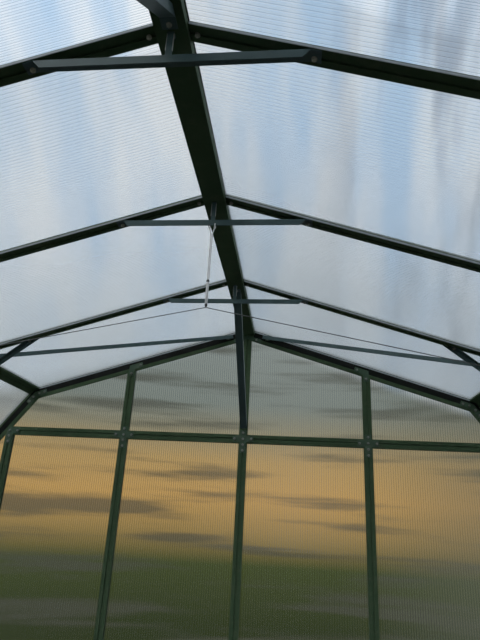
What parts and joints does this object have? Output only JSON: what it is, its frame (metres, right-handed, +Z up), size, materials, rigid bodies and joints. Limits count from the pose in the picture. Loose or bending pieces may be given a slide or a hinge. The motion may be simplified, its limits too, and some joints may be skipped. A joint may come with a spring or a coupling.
{
  "type": "polycarbonate greenhouse",
  "caption": "Small walk-in greenhouse with a barn-shaped roof: green metal bars, clear ribbed sheets, braces and ties inside, a doorway with sliding leaves in the front gable.",
  "frame": {"origin": "centre of the footprint at ground level", "axes": "+X to the right as seen from the front doorway, +Y from the front gable to the rear gable, +Z up"},
  "size_m": [3.05, 2.555, 2.383],
  "materials": {
    "green_frame": "dark green powder coat on extruded aluminium",
    "green_brace": "dark green powder coat on folded angle",
    "clear_sheet": "clear twin-wall sheet with fine ribs",
    "steel_wire": "dull galvanised wire",
    "zinc_fixing": "dull zinc-plated bolts, nuts and washers",
    "grey_seal": "grey sealing strip beside the roof bars",
    "black_plastic": "black moulded plastic on handles, rollers and beads",
    "white_cord": "white cord with a plastic sleeve"
  },
  "bodies": {
    "root": {"base_rail_left": "green_frame", "base_rail_right": "green_frame", "base_rail_rear": "green_frame", "base_rail_front": "green_frame", "eave_rail_left": "green_frame", "eave_rail_right": "green_frame", "knee_purlin_left": "green_frame", "knee_purlin_right": "green_frame", "ridge_beam": "green_frame", "side_posts_left": "green_frame", "side_posts_right": "green_frame", "lower_rafters_left": "green_frame", "lower_rafters_right": "green_frame", "upper_rafters_left": "green_frame", "upper_rafters_right": "green_frame", "rear_gable_rafter_left": "green_frame", "rear_gable_rafter_right": "green_frame", "rear_gable_lower_rafters": "green_frame", "front_gable_rafter_left": "green_frame", "front_gable_rafter_right": "green_frame", "front_gable_lower_rafters": "green_frame", "corner_posts": "green_frame", "rear_gable_rail": "green_frame", "front_gable_rail": "green_frame", "rear_gable_studs": "green_frame", "front_gable_studs": "green_frame", "door_track": "green_frame", "door_leaf_left": "green_frame", "door_leaf_right": "green_frame", "collar_ties": "green_brace", "king_struts": "green_brace", "knee_braces": "green_brace", "roof_braces": "green_brace", "gable_braces": "green_brace", "side_glazing_left": "clear_sheet", "side_glazing_right": "clear_sheet", "lower_roof_glazing_left": "clear_sheet", "lower_roof_glazing_right": "clear_sheet", "upper_roof_glazing_left": "clear_sheet", "upper_roof_glazing_right": "clear_sheet", "rear_gable_glazing": "clear_sheet", "front_gable_glazing": "clear_sheet", "door_glazing": "clear_sheet", "tie_wire": "steel_wire", "wire_hanger": "white_cord"}
  },
  "joints": []
}
